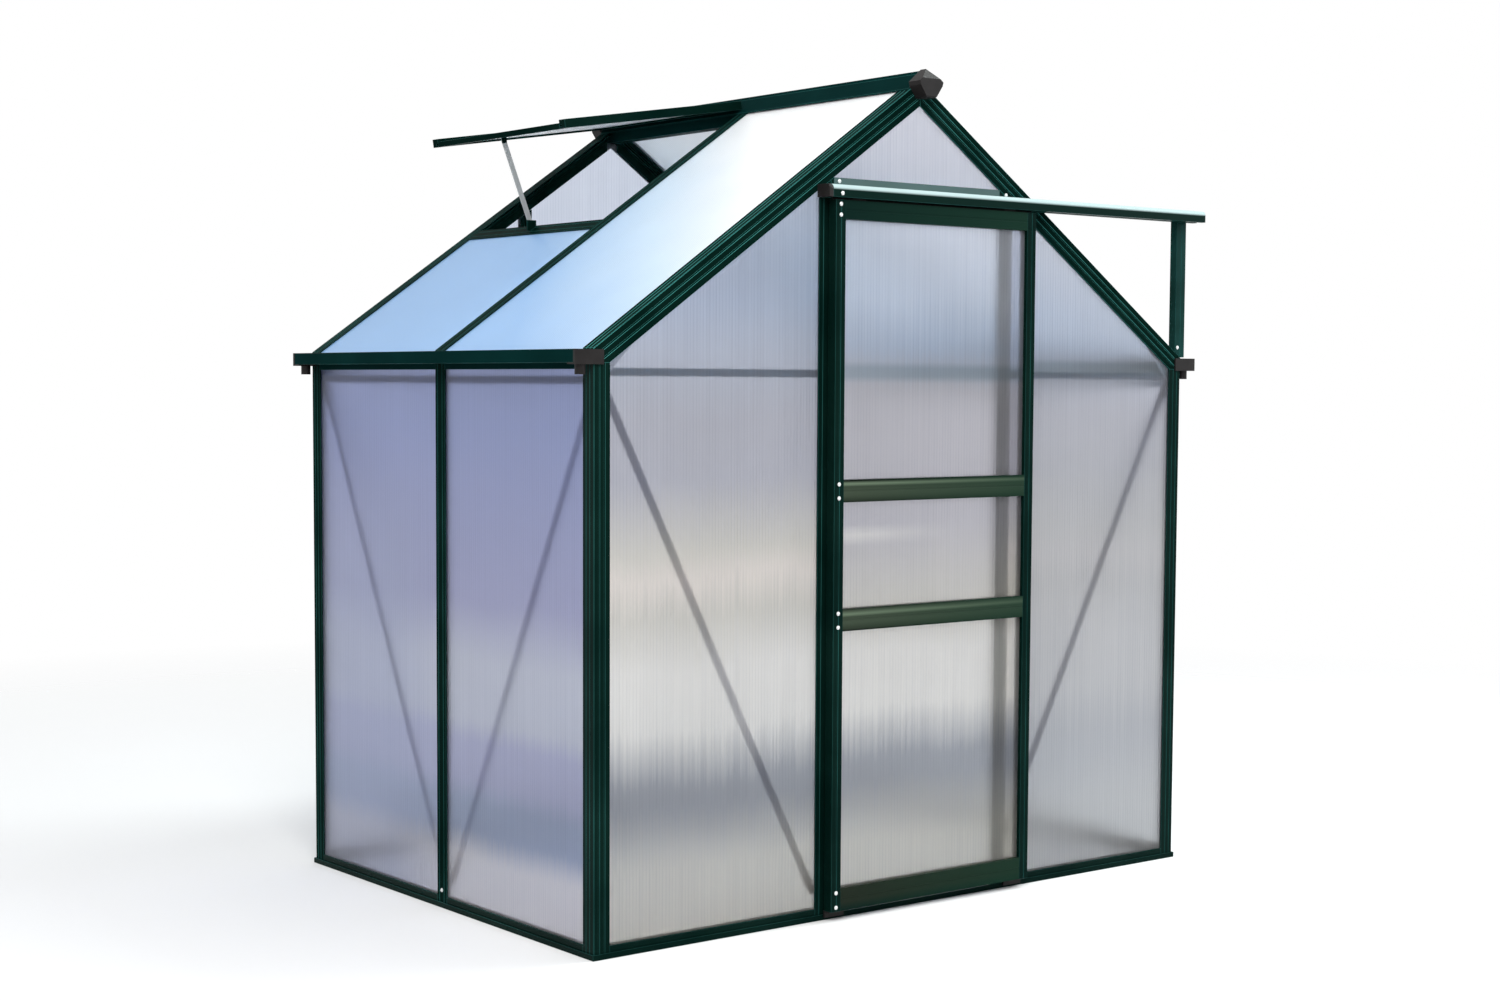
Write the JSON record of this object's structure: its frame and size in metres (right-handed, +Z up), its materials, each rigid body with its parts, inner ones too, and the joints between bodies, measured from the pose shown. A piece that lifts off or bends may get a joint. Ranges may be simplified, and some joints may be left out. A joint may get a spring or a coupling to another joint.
{
  "type": "polycarbonate greenhouse",
  "caption": "Free-standing gabled garden greenhouse: extruded metal frame, translucent twin-wall sheets, sliding gable door, gutters and an open roof vent.",
  "frame": {"origin": "ground level, at the centre of the four anchor holes in the sills", "axes": "+X to the right along the front gable, +Y from the door to the rear gable, +Z up"},
  "size_m": [1.9966, 1.398, 2.0306],
  "materials": {
    "green_frame": "satin powder coat",
    "polycarbonate": "translucent twin-wall sheet",
    "black_plastic": "moulded",
    "bare_aluminium": "mill"
  },
  "bodies": {
    "frame": {"front_sill": "green_frame", "rear_sill": "green_frame", "left_sill": "green_frame", "right_sill": "green_frame", "front_corner_posts": "green_frame", "rear_corner_posts": "green_frame", "side_middle_posts": "green_frame", "door_jambs": "green_frame", "rear_studs": "green_frame", "left_gutter": "green_frame", "right_gutter": "green_frame", "gutter_end_caps": "black_plastic", "front_rafters": "green_frame", "rear_rafters": "green_frame", "middle_rafters": "green_frame", "ridge_bar": "green_frame", "ridge_end_caps": "black_plastic", "side_rails": "green_frame", "gable_rails": "green_frame", "front_braces": "bare_aluminium", "rear_braces": "bare_aluminium", "side_braces": "bare_aluminium", "eave_gussets": "bare_aluminium", "gable_header": "green_frame", "door_track": "green_frame", "track_plugs": "black_plastic", "track_support": "green_frame", "left_wall_sheets": "polycarbonate", "right_wall_sheets": "polycarbonate", "front_wall_sheets": "polycarbonate", "front_gable_sheet": "polycarbonate", "rear_wall_sheets": "polycarbonate", "left_roof_sheets": "polycarbonate", "right_roof_sheets": "polycarbonate", "vent_sill_bar": "green_frame", "vent_side_bars": "green_frame", "vent_hinge_bar": "green_frame", "vent_bottom_bar": "green_frame", "vent_sheet": "polycarbonate", "vent_stay": "bare_aluminium"},
    "door": {"door_stiles": "green_frame", "door_rails": "green_frame", "door_sheets": "polycarbonate", "door_rollers": "black_plastic", "door_guides": "black_plastic"}
  },
  "joints": [
    {"name": "door_slide", "type": "slide", "parent": "frame", "child": "door", "axis": [1, 0, 0], "range_m": [0, 0.6]}
  ]
}
